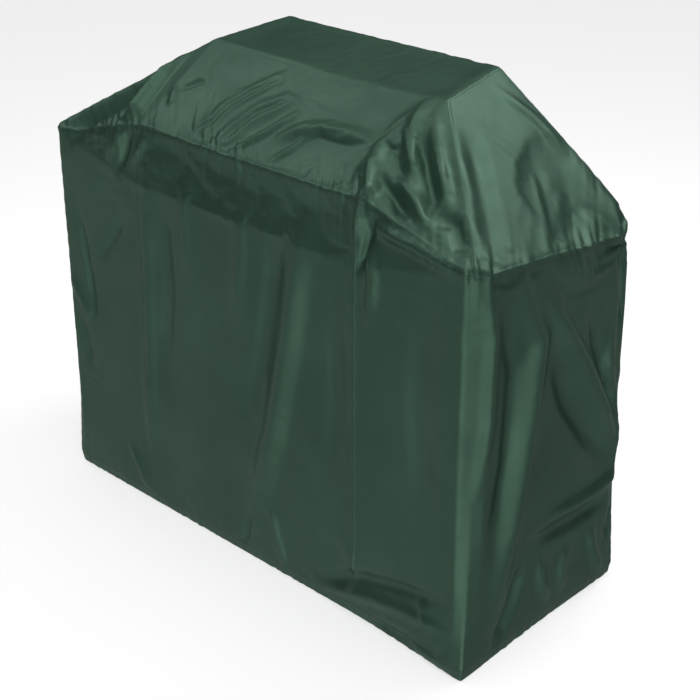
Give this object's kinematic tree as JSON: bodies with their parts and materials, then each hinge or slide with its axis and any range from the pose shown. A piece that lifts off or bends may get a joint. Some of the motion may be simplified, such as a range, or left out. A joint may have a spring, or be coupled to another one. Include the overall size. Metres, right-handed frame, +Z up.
{
  "type": "grill cover",
  "caption": "Fitted cloth cover for a cart grill: box skirt to the floor, sloped cap over the hood, gathered shoulder seam and elasticated hem.",
  "frame": {"origin": "on the floor under the middle of the cover, the centre of the bottom of its bounding box", "axes": "+Z up, +X along the long side to the right as seen from the front, the low sloping front faces -Y"},
  "size_m": [1.4032, 0.5832, 1.224],
  "materials": {
    "cover_cloth": "satin",
    "seam_tape": "matte",
    "thread": "matte",
    "elastic": "matte"
  },
  "bodies": {
    "root": {"skirt_front": "cover_cloth", "skirt_back": "cover_cloth", "side_wrap_front_left": "cover_cloth", "side_wrap_end_left": "cover_cloth", "side_wrap_back_left": "cover_cloth", "side_wrap_front_right": "cover_cloth", "side_wrap_end_right": "cover_cloth", "side_wrap_back_right": "cover_cloth", "cap_strip_front": "cover_cloth", "cap_strip_top": "cover_cloth", "cap_strip_back": "cover_cloth", "cap_strip_front_corner_left": "cover_cloth", "cap_strip_front_corner_right": "cover_cloth", "cap_strip_back_corner_left": "cover_cloth", "cap_strip_back_corner_right": "cover_cloth", "cap_end_left": "cover_cloth", "cap_end_right": "cover_cloth", "hem_casing_front": "cover_cloth", "hem_casing_right": "cover_cloth", "hem_casing_back": "cover_cloth", "hem_casing_left": "cover_cloth", "hem_elastic": "elastic", "shoulder_tape_front": "seam_tape", "shoulder_tape_right": "seam_tape", "shoulder_tape_back": "seam_tape", "shoulder_tape_left": "seam_tape", "hip_tape_left": "seam_tape", "hip_tape_right": "seam_tape", "seam_tape_front_left": "seam_tape", "seam_tape_front_right": "seam_tape", "seam_tape_back_left": "seam_tape", "seam_tape_back_right": "seam_tape", "shoulder_stitching_upper": "thread", "shoulder_stitching_lower": "thread", "hip_stitching_left": "thread", "hip_stitching_right": "thread", "seam_stitching_front_left": "thread", "seam_stitching_front_right": "thread", "seam_stitching_back_left": "thread", "seam_stitching_back_right": "thread", "hem_stitching": "thread"}
  },
  "joints": []
}
